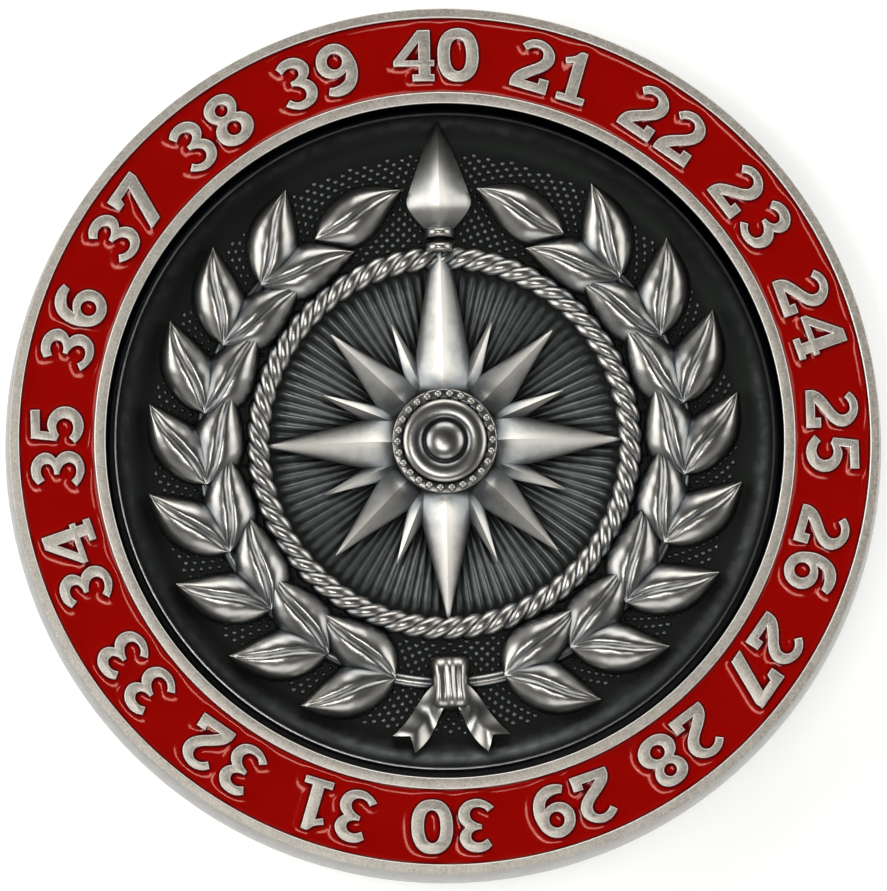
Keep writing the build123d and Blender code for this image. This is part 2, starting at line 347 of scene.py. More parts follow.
six = [
    [(0.99, 1.27, 1), (0.80, 0.86, 1), (0.47, 0.91), (0.13, 0.86), (-0.19, 0.69), (-0.38, 0.31, 1), (-0.10, 0.43),
     (0.25, 0.47), (0.63, 0.37), (0.95, 0.10), (1.12, -0.30), (1.08, -0.75), (0.85, -1.17), (0.47, -1.43),
     (0.0, -1.52), (-0.47, -1.38), (-0.85, -1.0), (-1.05, -0.45), (-1.10, 0.12), (-0.97, 0.69), (-0.67, 1.17),
     (-0.20, 1.46), (0.27, 1.52), (0.67, 1.44)],
    oval(0.05, -0.48, 0.86, 0.90),
]
digitLoops = {
    0: [oval(0, 0, 2.36, 3.1, 2.35), oval(0, 0, 0.92, 1.84, 2.3)],
    1: [[(0.26, 1.50, 1), (-0.14, 1.50), (-0.42, 1.22), (-0.96, 0.98, 1), (-0.82, 0.62, 1), (-0.42, 0.78, 1),
         (-0.40, -1.04, 1), (-0.88, -1.04, 1), (-0.88, -1.48, 1), (0.78, -1.48, 1), (0.78, -1.04, 1),
         (0.29, -1.04, 1)]],
    2: [[(-0.99, 1.02, 1), (-0.73, 1.28), (-0.40, 1.45), (-0.03, 1.50), (0.40, 1.40), (0.77, 1.15), (1.0, 0.78),
         (1.01, 0.40), (0.83, 0.03), (0.50, -0.30), (0.10, -0.60), (-0.30, -0.95, 1), (0.48, -0.95, 1),
         (0.48, -0.62, 1), (1.06, -0.62, 1), (1.08, -1.48, 1), (-1.08, -1.48, 1), (-1.10, -1.07), (-0.97, -0.72),
         (-0.63, -0.36), (-0.23, -0.06), (0.12, 0.21), (0.33, 0.50), (0.28, 0.83), (0.06, 1.0), (-0.22, 1.0),
         (-0.47, 0.88), (-0.65, 0.70, 1)]],
    3: [[(-0.86, 1.13, 1), (-0.51, 1.41), (-0.05, 1.51), (0.43, 1.43), (0.81, 1.13), (0.98, 0.75), (0.91, 0.40),
         (0.64, 0.08, 1), (0.90, -0.17), (1.04, -0.54), (0.97, -0.95), (0.71, -1.30), (0.29, -1.49),
         (-0.14, -1.52), (-0.57, -1.37), (-1.0, -1.06, 1), (-0.63, -0.76, 1), (-0.38, -0.99), (-0.07, -1.06),
         (0.22, -0.97), (0.38, -0.71), (0.30, -0.40), (0.06, -0.20), (-0.29, -0.08, 1), (-0.29, 0.19, 1),
         (0.06, 0.26), (0.30, 0.46), (0.30, 0.73), (0.11, 0.91), (-0.21, 0.94), (-0.59, 0.72, 1)]],
    4: [[(0.22, 1.48, 1), (0.94, 1.48, 1), (0.94, -0.25, 1), (1.16, -0.25, 1), (1.16, -0.62, 1), (0.94, -0.62, 1),
         (0.94, -1.06, 1), (1.16, -1.06, 1), (1.16, -1.48, 1), (-0.11, -1.48, 1), (-0.11, -1.06, 1),
         (0.25, -1.06, 1), (0.25, -0.62, 1), (-1.18, -0.62, 1), (-1.18, -0.30, 1)],
        [(0.25, 0.72, 1), (0.25, -0.25, 1), (-0.52, -0.25, 1)]],
    5: [[(-0.72, 1.48, 1), (0.92, 1.48, 1), (0.92, 0.95, 1), (-0.28, 0.95, 1), (-0.36, 0.44, 1), (-0.03, 0.54),
         (0.40, 0.46), (0.80, 0.20), (1.04, -0.22), (1.06, -0.65), (0.85, -1.11), (0.43, -1.43), (-0.07, -1.53),
         (-0.53, -1.43), (-1.06, -1.02, 1), (-0.70, -0.66, 1), (-0.43, -0.87), (-0.10, -0.93), (0.23, -0.79),
         (0.38, -0.49), (0.28, -0.15), (0.0, 0.02), (-0.30, -0.01), (-0.56, -0.13, 1), (-0.90, 0.04, 1)]],
    6: six,
    7: [[(-1.11, 1.48, 1), (1.11, 1.48, 1), (1.11, 1.02, 1), (-0.06, -1.48, 1), (-0.90, -1.48, 1), (0.26, 0.92, 1),
         (-0.47, 0.92, 1), (-0.62, 0.60, 1), (-1.11, 0.60, 1)]],
    8: [bothSides([(0, 1.55), (0.42, 1.49), (0.80, 1.25), (0.98, 0.88), (0.92, 0.46), (0.65, 0.10, 1),
                   (0.99, -0.17), (1.15, -0.62), (1.02, -1.07), (0.62, -1.42), (0, -1.56)]),
        oval(0.0, 0.65, 0.74, 0.70), oval(0.0, -0.58, 0.84, 0.80)],
    9: [[(-x, -y, *corner) for x, y, *corner in loop] for loop in six],
}


def smoothLoop(points, steps):
    # curved spans through the smooth points, natural ends at the corners, straight runs between two corners
    count = len(points)
    spots = np.array([p[:2] for p in points], float)
    corner = [len(p) > 2 for p in points]
    slopes = np.zeros_like(spots)
    for i in range(count):
        back, on = spots[i] - spots[i - 1], spots[(i + 1) % count] - spots[i]
        a, b = np.linalg.norm(back), np.linalg.norm(on)
        slopes[i] = (back / a * b + on / b * a) / (a + b)
    line = []
    for i in range(count):
        k = (i + 1) % count
        span = spots[k] - spots[i]
        length = np.linalg.norm(span)
        if corner[i] and corner[k]:
            line.append(spots[i])
            continue
        leave, arrive = slopes[i] * length, slopes[k] * length
        if corner[i]:
            leave = 1.5 * span - 0.5 * arrive
        if corner[k]:
            arrive = 1.5 * span - 0.5 * leave
        for t in np.arange(steps) / steps:
            line.append((2 * t ** 3 - 3 * t ** 2 + 1) * spots[i] + (t ** 3 - 2 * t ** 2 + t) * leave
                        + (3 * t ** 2 - 2 * t ** 3) * spots[k] + (t ** 3 - t ** 2) * arrive)
    return np.array(line)


digitLines = {digit: [smoothLoop(loop, numeral["spanSteps"]) for loop in loops]
              for digit, loops in digitLoops.items()}
digitShelf = bpy.data.collections.new("digits")


def digitMesh(name, lines):
    # fills the outline, gives it its height, and rounds its upper edge a little
    curve = bpy.data.curves.new(name, "CURVE")
    curve.dimensions = "2D"
    curve.fill_mode = "BOTH"
    for line in lines:
        spline = curve.splines.new("POLY")
        spline.points.add(len(line) - 1)
        for point, (x, y) in zip(spline.points, line):
            point.co = (x * mm, y * mm, 0, 1)
        spline.use_cyclic_u = True
    curve.bevel_depth = numeral["edge"] * mm
    curve.offset = -numeral["edge"] * mm
    curve.bevel_resolution = 1
    curve.extrude = ((numeral["top"] - numeral["root"]) / 2 - numeral["edge"]) * mm
    mesh = evaluated(newPiece(name, curve))
    mesh.transform(Matrix.Translation((0, 0, (numeral["top"] + numeral["root"]) / 2 * mm)))
    mesh.materials.clear()
    return mesh


for digit, lines in sorted(digitLines.items()):
    digitShelf.objects.link(bpy.data.objects.new(f"digit{digit}", digitMesh(f"digit{digit}", lines)))


def numeralPiece(name, firstNumber):
    # two points for each number, one for the tens and one for the units, with its digit stood on each
    tree, add, given = newTree(name, {
        "Digits": digitShelf, "First number": firstNumber, "Per turn": numeral["perTurn"],
        "Radius": numeral["radius"] * mm, "Pitch": numeral["pitch"] * mm, "Material": plate})
    index = add("GeometryNodeInputIndex")
    place = add(maths, (add(maths, (index, 2.0), operation="DIVIDE"),), operation="FLOOR")
    number = add(maths, (place, given["First number"]), operation="ADD")
    isUnits = add(maths, (index, 2.0), operation="MODULO")
    twoDigits = add(maths, (number, 9.5), operation="GREATER_THAN")
    tens = add(maths, (add(maths, (number, 10.0), operation="DIVIDE"),), operation="FLOOR")
    units = add(maths, (number, 10.0), operation="MODULO")
    digit = add(mixer, {0: isUnits, 2: tens, 3: units}, data_type="FLOAT")
    shown = add(maths, (isUnits, twoDigits), operation="MAXIMUM")
    side = add(maths, (isUnits, 0.5), operation="SUBTRACT")
    spread = add(maths, (twoDigits, given["Pitch"]), operation="MULTIPLY")
    offset = add(maths, (side, spread), operation="MULTIPLY")
    share = add(maths, (number, given["Per turn"]), operation="DIVIDE")
    angle = add(maths, (share, -fullTurn), operation="MULTIPLY")
    spot = add(vector, (offset, given["Radius"]))
    around = add(rotator, {"Vector": spot, "Angle": angle}, rotation_type="Z_AXIS")
    count = add(maths, (given["Per turn"], 2.0), operation="MULTIPLY")
    points = add("GeometryNodePoints", (count, around))
    shelf = add("GeometryNodeCollectionInfo", {"Collection": given["Digits"], "Separate Children": True,
                                               "Reset Children": True})
    stood = add("GeometryNodeInstanceOnPoints", {
        "Points": points, "Selection": shown, "Instance": shelf, "Pick Instance": True, "Instance Index": digit,
        "Rotation": add(vector, {2: angle})})
    mesh = grownMesh(tree, stood, given["Material"], 30)
    below = numeral["top"] - pointsOf(mesh)[:, 2]
    worn = (below > 0.005) & (below < numeral["edge"] + 0.005)
    storeValues(mesh, "soil", worn * -1.0)
    return newPiece(name, mesh)


overToBack = Matrix.Translation((0, 0, numeral["top"] * mm)) @ Matrix.Rotation(math.pi, 4, "Y")  # front to back
frontNumerals = numeralPiece("frontNumerals", 21)
backNumerals = numeralPiece("backNumerals", 1)
backNumerals.data.transform(overToBack)
for shelved in list(digitShelf.objects):
    bpy.data.objects.remove(shelved)
bpy.data.collections.remove(digitShelf)
print("numerals made")


# the number ring, turned as one profile: two rims, the sunk band between them, and the tongue for the joint
ring = dict(bore=19.25, bandInner=19.9, bandOuter=24.15, face=24.7, side=25.0, tongue=16.65, tongueTop=4.1,
            bandFloor=6.35, top=7.0, middle=3.5, edge=0.08, shoulder=0.07, crown=0.022, steps=720,
            sideShade=(0.27, 0.03))


def ringProfile():
    # the outer rim's face falls a little towards its edge, and two plain points keep its shading flat
    top, edge = ring["top"], ring["edge"]
    reach = ring["face"] - ring["bandOuter"]
    upper = [
        (ring["tongue"], ring["tongueTop"], 0.05), (ring["bore"], ring["tongueTop"], 0),
        (ring["bore"], top, edge), (ring["bandInner"], top, edge), (ring["bandInner"], ring["bandFloor"], 0),
        (ring["bandOuter"], ring["bandFloor"], 0), (ring["bandOuter"], top, edge),
        *[(ring["bandOuter"] + reach * share, top - ring["crown"] * share, 0) for share in (0.18, 0.84)],
        (ring["face"], top - ring["crown"], ring["shoulder"]),
    ]
    lower = [(r, 2 * ring["middle"] - z, rounding) for r, z, rounding in reversed(upper)]
    return roundedLoop(upper + [(ring["side"], ring["middle"], 0)] + lower)


numberRing = newPiece("numberRing", latheMesh("numberRing", ringProfile(), ring["steps"]))
x, y, z = pointsOf(numberRing.data).T
outwards = np.hypot(x, y)
underFace = ring["top"] - ring["middle"] - abs(z - ring["middle"])
# painted shade: the bore wall, down in the gap round the dial, is painted dark
inBore = (outwards < ring["bore"] + 0.01) & (underFace > ring["edge"] * 0.9)
onEdge = (outwards < ring["bandOuter"] + 0.1) & (underFace > 0.004) & (underFace < ring["edge"] * 0.9)
onSide = outwards > ring["face"] + 0.005  # the side: painted shade, darkest where it meets the face
sideShade = np.interp(underFace, (0, ring["middle"]), ring["sideShade"])
storeValues(numberRing.data, "soil", inBore * 1.0 + onSide * sideShade - onEdge)
print("number ring made")


# The enamel creeps up every metal wall: on a polar grid, its height follows the distance to the nearest wall.
fill = dict(level=6.78, climb=0.145, width=0.6, innerWidth=0.36, outerWidth=0.48, limit=0.19, around=1760,
            across=52, sweeps=12)


def numberLines(number):
    # a number's outlines in its own upright frame, as the tree above places them
    digits = [number // 10, number % 10] if number > 9 else [number]
    return [line + ((slot - (len(digits) - 1) / 2) * numeral["pitch"], numeral["radius"])
            for slot, digit in enumerate(digits) for line in digitLines[digit]]


def wallDistance(points, lines):
    # how far each point lies from the nearest wall of a number, below zero inside its metal
    starts = np.concatenate(lines)
    ends = np.concatenate([np.roll(line, -1, 0) for line in lines])
    inside = np.zeros(len(points), bool)
    nearest = np.full(len(points), np.inf)
    for a, b in zip(starts, ends):
        crosses = (a[1] > points[:, 1]) != (b[1] > points[:, 1])
        at = a[0] + (points[:, 1] - a[1]) * (b[0] - a[0]) / (b[1] - a[1] if b[1] != a[1] else 1)
        inside ^= crosses & (points[:, 0] < at)
        run = b - a
        share = np.clip((points - a) @ run / max(run @ run, 1e-9), 0, 1)
        nearest = np.minimum(nearest, np.linalg.norm(points - a - share[:, None] * run, axis=1))
    return np.where(inside, -nearest, nearest)


def enamelPiece(name, firstNumber):
    around, across, perTurn = fill["around"], fill["across"], numeral["perTurn"]
    radii = np.linspace(ring["bandInner"], ring["bandOuter"], across + 1)
    turn = np.arange(around)[:, None] * fullTurn / around  # clockwise from +Y
    wall = np.empty((around, across + 1))
    share = around // perTurn
    for number in range(firstNumber, firstNumber + perTurn):
        middle = number * fullTurn / perTurn
        rows = (number * share + np.arange(-share // 2, share // 2)) % around
        angle = (turn[rows] - middle + math.pi) % fullTurn - math.pi
        points = np.stack((radii * np.sin(angle), radii * np.cos(angle)), -1)
        wall[rows] = wallDistance(points.reshape(-1, 2), numberLines(number)).reshape(share, -1)
    rim = np.minimum((radii - ring["bandInner"]) / fill["innerWidth"],
                     (ring["bandOuter"] - radii) / fill["outerWidth"])
    atRim = np.maximum(1 - rim, 0)
    rise = atRim ** 2 + (1 - atRim) * np.maximum(1 - wall / fill["width"], 0) ** 2
    height = np.minimum(fill["climb"] * rise, fill["limit"])
    for sweep in range(fill["sweeps"]):  # softens the creases where two slopes meet
        beside = np.roll(height, 1, 0) + np.roll(height, -1, 0)
        height[:, 1:-1] = height[:, 1:-1] / 2 + (beside[:, 1:-1] + height[:, 2:] + height[:, :-2]) / 8
    top = np.stack((radii * np.sin(turn), radii * np.cos(turn), fill["level"] + height), -1)
    floorEdge = top[:, (-1, 0)].copy()
    floorEdge[..., 2] = ring["bandFloor"]
    mesh = meshFrom(name, np.concatenate((top, floorEdge), 1), gridFaces(around, across + 3, True, True), 60)
    # how far up a wall the enamel climbs; the material paints shade there
    storeValues(mesh, "creep", np.clip((pointsOf(mesh)[:, 2] - fill["level"]) / fill["climb"], 0, 1))
    return newPiece(name, mesh)


frontEnamel = enamelPiece("frontEnamel", 21)
backEnamel = enamelPiece("backEnamel", 1)
backEnamel.data.transform(overToBack)
print("enamel made")


# the dial's disc: a dish with a cove inside its lip, and an engraved sunburst behind the star
dish = dict(radius=18.8, lip=18.65, coveWidth=2.0, lipTop=6.5, field=5.05, underside=4.45, spigot=14.78,
            middle=3.5, edge=0.07, pleats=96, pleatDepth=0.11, pleatFrom=2.6, pleatTo=9.9, pleatRings=16,
            plainRings=(15, 13, 11.5, 10.6), steps=768, coveSteps=14)
root = 4.8  # the relief grows from here, just under the field


def dishMesh():
    outer = roundedLoop([(dish["spigot"], dish["middle"], 0.05), (dish["spigot"], dish["underside"], 0),
                         (dish["radius"], dish["underside"], 0.05), (dish["radius"], dish["lipTop"], dish["edge"]),
                         (dish["lip"] - 0.02, dish["lipTop"], 0)], 3)[:-1]
    arc = np.linspace(0, math.pi / 2, dish["coveSteps"])
    cove = np.stack((dish["lip"] - dish["coveWidth"] * (1 - np.cos(arc)),
                     dish["lipTop"] - (dish["lipTop"] - dish["field"]) * np.sin(arc)), -1)
    pleated = np.linspace(dish["pleatTo"], dish["pleatFrom"], dish["pleatRings"])
    field = [(r, dish["field"]) for r in (*dish["plainRings"], *pleated, 1.2, 0)]
    mesh = latheMesh("dish", [(0, dish["middle"]), *outer, *cove, *field], dish["steps"], 50)
    spots = pointsOf(mesh)
    radius, turn = np.hypot(spots[:, 0], spots[:, 1]), np.arctan2(spots[:, 1], spots[:, 0])
    window = np.clip((radius - dish["pleatFrom"]) / 0.8, 0, 1) * np.clip((dish["pleatTo"] - radius) / 0.4, 0, 1)
    sunk = (abs(spots[:, 2] - dish["field"]) < 0.001) * window * dish["pleatDepth"]
    spots[:, 2] -= sunk * (0.5 - 0.5 * np.cos(turn * dish["pleats"]))
    mesh.vertices.foreach_set("co", (spots * mm).ravel())
    return mesh


# the stippled ground between the rope and the cove
ground = dict(dots=2300, inner=11.4, outer=16.6, dotRadius=0.15, dotHeight=0.11)


def groundMesh():
    # small domes in close order, each one golden angle on from the last
    tree, add, given = newTree("stippledGround", {
        "Dots": ground["dots"], "Inner": ground["inner"] * mm, "Outer": ground["outer"] * mm,
        "Height": dish["field"] * mm, "Dot radius": ground["dotRadius"] * mm,
        "Dot height": ground["dotHeight"] * mm, "Material": antique})
    index = add("GeometryNodeInputIndex")
    share = add(maths, (index, given["Dots"]), operation="DIVIDE")
    innerArea, outerArea = (add(maths, (given[edge], 2.0), operation="POWER") for edge in ("Inner", "Outer"))
    area = add(mixer, {0: share, 2: innerArea, 3: outerArea}, data_type="FLOAT")
    radius = add(maths, (area,), operation="SQRT")
    turn = add(maths, (index, math.pi * (3 - math.sqrt(5))), operation="MULTIPLY")
    spot = add(vector, {0: radius, 2: given["Height"]})
    around = add(rotator, {"Vector": spot, "Angle": turn}, rotation_type="Z_AXIS")
    flat = add(maths, (given["Dot height"], given["Dot radius"]), operation="DIVIDE")
    stippled = add("GeometryNodeInstanceOnPoints", {
        "Points": add("GeometryNodePoints", (given["Dots"], around)), "Scale": add(vector, (1.0, 1.0, flat)),
        "Instance": add("GeometryNodeMeshUVSphere", (8, 4, given["Dot radius"]))})
    return grownMesh(tree, stippled, given["Material"], 60)


# the compass star, its boss and the pointer; the arms have a reach, a width and a height
star = dict(inner=1.9, cardinal=(10.2, 4.0, 1.76), diagonal=(8.9, 3.4, 1.36), ray=(7.4, 1.9, 0.9), edge=0.42,
            flank=0.84, rise=1.5, dip=0.38, blunt=0.03, boss=2.4, button=1.15, collar=3.0, collarTop=6.19,
            bossSide=6.32, rollHeight=0.3, bossTop=6.85, buttonHeight=0.5, pearls=26, pearlRadius=0.25, rows=18,
            columns=15)
spear = dict(tail=11.8, shoulder=13.91, tip=18.2, width=3.5, height=1.886, tailHeight=0.9, tailWidth=0.24,
             tipHeight=1.19, edge=0.62, blunt=0.1, rows=30, columns=17, armReach=14.0, bandPlaces=(11.15, 12.0),
             bandWidth=0.34, bandReach=0.86, bandEdge=0.5, bandHeight=0.95)


def armMesh(reach, width, height):
    # one arm along +X: a ridge between two slightly swelling flanks
    along, across = grid(star["rows"], star["columns"])
    half = width / 2 * (1 - along) + star["blunt"]
    outwards = star["inner"] + (reach - star["inner"]) * along
    fromCollar = np.clip((outwards - star["collar"]) / star["rise"], 0, 1)
    rising = 1 - star["dip"] * (1 - fromCollar) ** 2  # the arm comes out from under the collar
    ridge = (height - star["edge"]) * (1 - along ** 1.5) * rising
    return slabMesh("arm", outwards, half * across, star["edge"] + ridge * (1 - abs(across)) ** star["flank"], 22)


def bossMesh():
    # a button in a rolled ring, and the collar round both
    button = [(star["button"] * math.sin(a), star["bossTop"] - star["buttonHeight"] * (1 - math.cos(a)))
              for a in np.linspace(0, math.pi / 2, 12)]
    middle = (star["button"] + 0.08 + star["boss"]) / 2
    roll = [(middle - (star["boss"] - middle) * math.cos(a), star["bossSide"] + star["rollHeight"] * math.sin(a))
            for a in np.linspace(0, math.pi, 16)]
    collar = roundedLoop([(0, 0, 0), (star["boss"], star["collarTop"] - 0.16, 0), (2.46, star["collarTop"], 0.03),
                          (star["collar"], star["collarTop"], 0.12), (star["collar"], root, 0)], 3)[1:]
    return latheMesh("boss", [*button, *roll, *collar, (0, root)], 144, 50)


def pearlMesh():
    # a ring of pearls, each set down on a circle
    tree, add, given = newTree("pearlRing", {
        "Count": star["pearls"], "Radius": (star["boss"] + star["collar"]) / 2 * mm,
        "Height": (star["collarTop"] + 0.04) * mm, "Pearl radius": star["pearlRadius"] * mm, "Material": antique})
    circle = add("GeometryNodeMeshCircle", (given["Count"], given["Radius"]))
    raised = add("GeometryNodeSetPosition", {"Geometry": circle, "Offset": add(vector, {2: given["Height"]})})
    pearl = add("GeometryNodeMeshIcoSphere", (given["Pearl radius"], 3))
    strung = add("GeometryNodeInstanceOnPoints", {"Points": raised, "Instance": pearl})
    return grownMesh(tree, strung, given["Material"], 35)


def starMesh():
    arms = [turned(armMesh(*star["cardinal"]), degrees) for degrees in (0, 180, 270)]
    arms.append(turned(armMesh(spear["armReach"], *star["cardinal"][1:]), 90))
    arms += [turned(armMesh(*star["diagonal"]), 45 + 90 * i) for i in range(4)]
    arms += [turned(armMesh(*star["ray"]), 22.5 + 45 * i) for i in range(8)]
    return joined("star", [*arms, bossMesh(), pearlMesh()])


def spearMesh():
    # the pointer's head along +X: swells from its tail, then runs to the tip
    along, across = grid(spear["rows"], spear["columns"])
    reach = spear["tip"] - spear["tail"]
    belly = (spear["shoulder"] - spear["tail"]) / reach
    rising = np.sin(np.clip(along / belly, 0, 1) * math.pi / 2)
    falling = np.clip((along - belly) / (1 - belly), 0, 1)
    swell = np.where(along < belly, spear["tailWidth"] + (1 - spear["tailWidth"]) * rising ** 1.3,
                     (1 - falling) ** 0.82)
    half = spear["width"] / 2 * swell + spear["blunt"]
    crest = np.where(along < belly, spear["tailHeight"] + (spear["height"] - spear["tailHeight"]) * rising,
                     spear["height"] + (spear["tipHeight"] - spear["height"]) * falling ** 1.6)
    edge = np.minimum(spear["edge"], crest * 0.6)
    height = edge + (crest - edge) * (1 - abs(across) ** 1.04)
    return slabMesh("spear", spear["tail"] + reach * along, half * across, height, 22)


def bandMesh(place):
    # a rounded band across the arm, where the spearhead is socketed
    along, across = grid(9, 17, -1)
    height = spear["bandEdge"] + spear["bandHeight"] * (1 - across ** 2) ** 0.5 * (1 - along ** 2) ** 0.25
    return slabMesh("band", place + spear["bandWidth"] * along, spear["bandReach"] * across, height, 50)


def pointerMesh():
    return joined("pointer", [turned(mesh, 90) for mesh in (spearMesh(), *map(bandMesh, spear["bandPlaces"]))])


# the rope ring round the star
rope = dict(radius=10.6, height=5.0, strands=3, twists=20.0, lay=0.34, strandRadius=0.42, steps=720, sides=10)


def ropeMesh():
    # strands wound round a circle: each point of the circle is pushed out along a turning direction
    tree, add, given = newTree("ropeRing", {
        "Radius": rope["radius"] * mm, "Height": rope["height"] * mm, "Twists": rope["twists"],
        "Lay": rope["lay"] * mm, "Strand radius": rope["strandRadius"] * mm, "Steps": rope["steps"],
        "Sides": rope["sides"], "Material": antique})
    circle = add("GeometryNodeMeshCircle", (given["Steps"], given["Radius"]))
    section = add("GeometryNodeCurvePrimitiveCircle", {"Resolution": given["Sides"],
                                                       "Radius": given["Strand radius"]})
    share = add(maths, (add("GeometryNodeInputIndex"), given["Steps"]), operation="DIVIDE")
    turn = add(maths, (share, fullTurn), operation="MULTIPLY")
    together = add("GeometryNodeJoinGeometry")
    for strand in range(rope["strands"]):
        phase = strand * fullTurn / rope["strands"]
        wind = add(maths, (turn, given["Twists"], phase), operation="MULTIPLY_ADD")
        side, rise = (add(maths, (wind,), operation=wave) for wave in ("COSINE", "SINE"))
        outwards = add(maths, (side, given["Lay"], given["Radius"]), operation="MULTIPLY_ADD")
        lift = add(maths, (rise, given["Lay"], given["Height"]), operation="MULTIPLY_ADD")
        spot = add(vector, {0: outwards, 2: lift})
        around = add(rotator, {"Vector": spot, "Angle": turn}, rotation_type="Z_AXIS")
        wound = add("GeometryNodeSetPosition", {"Geometry": circle, "Position": around})
        tube = add("GeometryNodeCurveToMesh", (add("GeometryNodeMeshToCurve", (wound,)), section))
        tree.links.new(tube.outputs[0], together.inputs[0])
    return grownMesh(tree, together, given["Material"], 60)


# the laurel wreath
wreath = dict(radius=13.75, foot=13, gap=31, pairs=8, splay=28, length=5.6, width=3.0, height=1.4, edge=0.46,
              midrib=0.16, midribWidth=0.13, vein=0.018, veins=5, rows=24, columns=19, stem=0.42, stemTaper=0.12,
              stemHeight=5.02, stemSteps=160, stemSides=12, loose=3, seed=7)


def leafMesh():
    # one leaf along +X: two domed halves with the midrib sunk between, faint veins, a drawn-out tip
    along, spread = grid(wreath["rows"], wreath["columns"])
    across = np.sign(spread) * abs(spread) ** 1.35
    half = wreath["width"] / 2 * np.sin(math.pi * along ** 0.82) ** 0.85 + 0.05
    crest = wreath["height"] * (0.5 + 0.5 * np.sin(math.pi * (0.06 + 0.8 * along) ** 0.9))
    dome = 1 - abs(across) ** 2.3
    side = half * across
    middle = np.exp(-(side / wreath["midribWidth"]) ** 2) * np.sin(math.pi * along) ** 0.4
    comb = np.cos(fullTurn * wreath["veins"] * (along - 0.16 * abs(side)))
    veins = comb * dome * np.clip(abs(side) / 0.3, 0, 1) * np.sin(math.pi * along)
    height = wreath["edge"] + (crest - wreath["edge"]) * dome - wreath["midrib"] * middle + wreath["vein"] * veins
    return slabMesh("leaf", wreath["length"] * along, side + 0.12 * np.sin(fullTurn * along), height, 40)


def leavesMesh(leaf):
    # one branch of leaves in splayed pairs with one more at its end; the other branch is its mirror image
    tree, add, given = newTree("laurelWreath", {
        "Leaf": leaf, "Radius": wreath["radius"] * mm, "Foot": math.radians(wreath["foot"]),
        "Gap": math.radians(wreath["gap"]), "Pairs": wreath["pairs"], "Splay": math.radians(wreath["splay"]),
        "Loose": math.radians(wreath["loose"]), "Seed": wreath["seed"], "Material": antique})
    index = add("GeometryNodeInputIndex")
    pair = add(maths, (add(maths, (index, 2.0), operation="DIVIDE"),), operation="FLOOR")
    paired = add(maths, (pair, given["Pairs"]), operation="LESS_THAN")
    odd = add(maths, (index, 2.0), operation="MODULO")
    side = add(maths, (odd, -2.0, 1.0), operation="MULTIPLY_ADD")
    lean = add(maths, (side, paired), operation="MULTIPLY")
    # the branch starts one foot from the bottom and stops one gap from the top
    ends = add(maths, (given["Foot"], given["Gap"]), operation="ADD")
    reach = add(maths, (math.pi, ends), operation="SUBTRACT")
    pitch = add(maths, (reach, given["Pairs"]), operation="DIVIDE")
    turn = add(maths, (pair, pitch, given["Foot"]), operation="MULTIPLY_ADD")
    fromX = add(maths, (turn, math.pi / 2), operation="SUBTRACT")
    heading = add(maths, (lean, given["Splay"], turn), operation="MULTIPLY_ADD")
    chance = add("FunctionNodeRandomValue", {2: -1.0, 3: 1.0, "Seed": given["Seed"]}, data_type="FLOAT")
    settled = add(maths, (chance, given["Loose"], heading), operation="MULTIPLY_ADD")
    spot = add(vector, (given["Radius"],))
    around = add(rotator, {"Vector": spot, "Angle": fromX}, rotation_type="Z_AXIS")
    count = add(maths, (given["Pairs"], 2.0, 1.0), operation="MULTIPLY_ADD")
    branch = add("GeometryNodeInstanceOnPoints", {
        "Points": add("GeometryNodePoints", (count, around)), "Rotation": add(vector, {2: settled}),
        "Instance": add("GeometryNodeObjectInfo", (given["Leaf"],)).outputs["Geometry"]})
    other = add("GeometryNodeTransform", {"Geometry": branch, "Scale": (-1, 1, 1)})
    together = add("GeometryNodeJoinGeometry")
    for half in (branch, other):
        tree.links.new(half.outputs[0], together.inputs[0])
    return grownMesh(tree, together, given["Material"], 40)


def stemMesh():
    # the stem follows the same circle, between the two ends
    steps, sides = wreath["stemSteps"], wreath["stemSides"]
    start, end = math.radians(90 + wreath["gap"]), math.radians(450 - wreath["gap"])
    turn = np.linspace(start, end, steps)[:, None]
    around = np.linspace(0, fullTurn, sides, endpoint=False)[None]
    taper = np.clip(np.minimum(turn - start, end - turn) / wreath["stemTaper"], 0.05, 1) * wreath["stem"]
    radius = wreath["radius"] + taper * np.cos(around)
    spots = np.stack((radius * np.cos(turn), radius * np.sin(turn),
                      wreath["stemHeight"] + taper * np.sin(around)), -1)
    caps = [tuple(range(sides)), tuple(range((steps - 1) * sides, steps * sides))]
    return meshFrom("stem", spots, gridFaces(steps, sides, False, True) + caps, 60)


def wreathMesh():
    leaf = bpy.data.objects.new("leafPattern", leafMesh())
    leaves = leavesMesh(leaf)
    bpy.data.objects.remove(leaf)
    return joined("wreath", [leaves, stemMesh()])


# the ribbon that ties the wreath
ribbon = dict(radius=13.75, knotWidth=2.2, knotLength=3.2, knotEdge=0.55, knotTop=1.476, tailLength=4.4,
              tailWidth=1.6, tailTop=0.86, notch=0.6, angle=38, wave=0.16, crease=0.09)


def tailMesh():
    # one tail along +X: a folded strip with a swallow-tail end
    along, across = grid(28, 13)
    length = ribbon["tailLength"] - ribbon["notch"] * (1 - abs(across))
    side = ribbon["tailWidth"] / 2 * across * (0.62 + 0.38 * np.sin(math.pi * along * 0.55))
    folds = ribbon["wave"] * np.sin(fullTurn * (1.3 * along + 0.1 * across))
    height = ribbon["tailTop"] + folds - 0.1 * across ** 2 + 0.12 * (1 - along)
    return slabMesh("tail", along * length, side + 0.12 * np.sin(fullTurn * along), height, 40)


